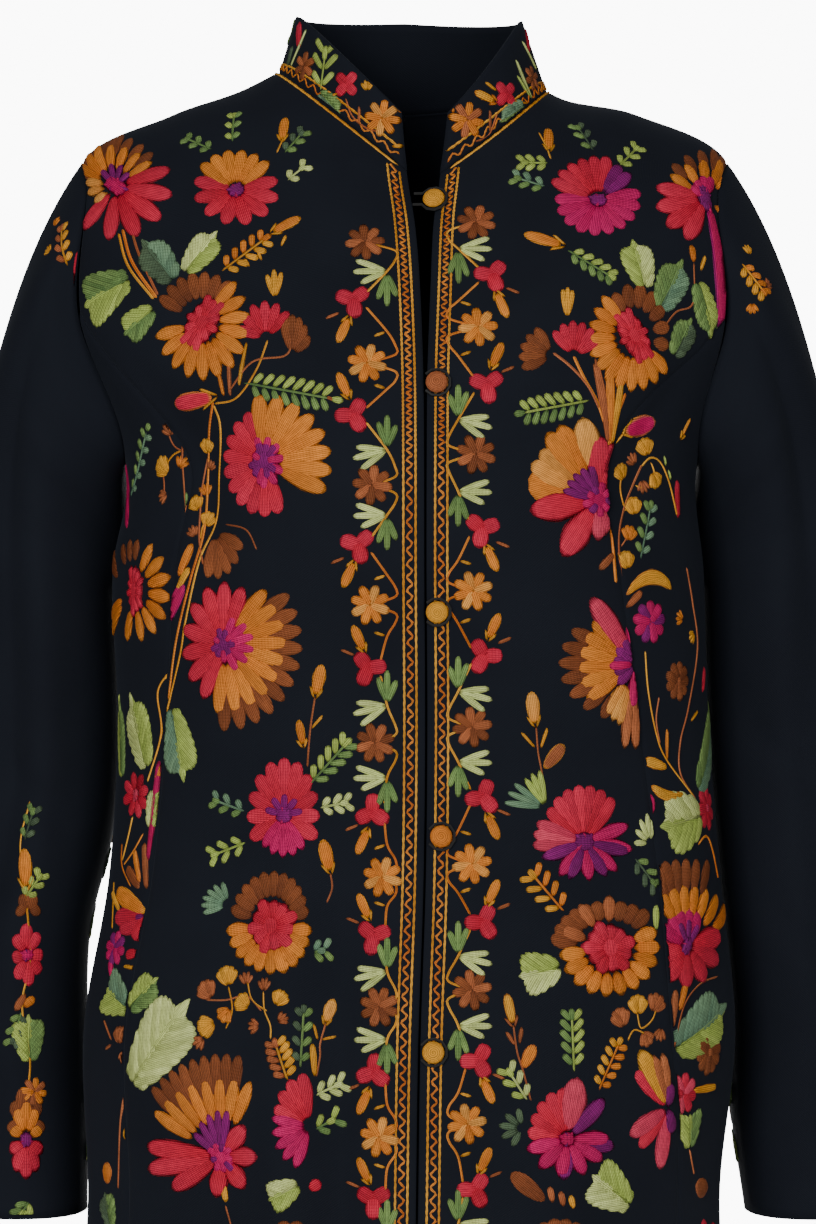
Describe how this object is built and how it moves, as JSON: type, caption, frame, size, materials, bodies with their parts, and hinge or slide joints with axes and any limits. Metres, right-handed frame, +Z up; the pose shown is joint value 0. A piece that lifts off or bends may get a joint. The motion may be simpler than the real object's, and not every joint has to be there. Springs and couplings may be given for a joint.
{
  "type": "embroidered wool jacket",
  "caption": "Hip-length wool jacket with a stand collar, loop-and-button front, princess seams and long set-in sleeves, filled out as worn and hollow inside.",
  "frame": {"origin": "middle of the neck opening at the height of the shoulder seams' neck ends", "axes": "+Z up, +X to the wearer's left, the front faces -Y"},
  "size_m": [0.5756, 0.296, 0.835],
  "materials": {
    "wool": "matte",
    "gold_thread": "satin",
    "cord": "matte"
  },
  "bodies": {
    "root": {"front_left": "wool", "front_right": "wool", "side_front_left": "wool", "side_front_right": "wool", "back_left": "wool", "back_right": "wool", "sleeve_left": "wool", "sleeve_right": "wool", "collar": "wool", "button_1": "gold_thread", "button_2": "gold_thread", "button_3": "gold_thread", "button_4": "gold_thread", "button_5": "gold_thread", "button_6": "gold_thread", "loop_1": "cord", "loop_2": "cord", "loop_3": "cord", "loop_4": "cord", "loop_5": "cord", "loop_6": "cord"}
  },
  "joints": []
}
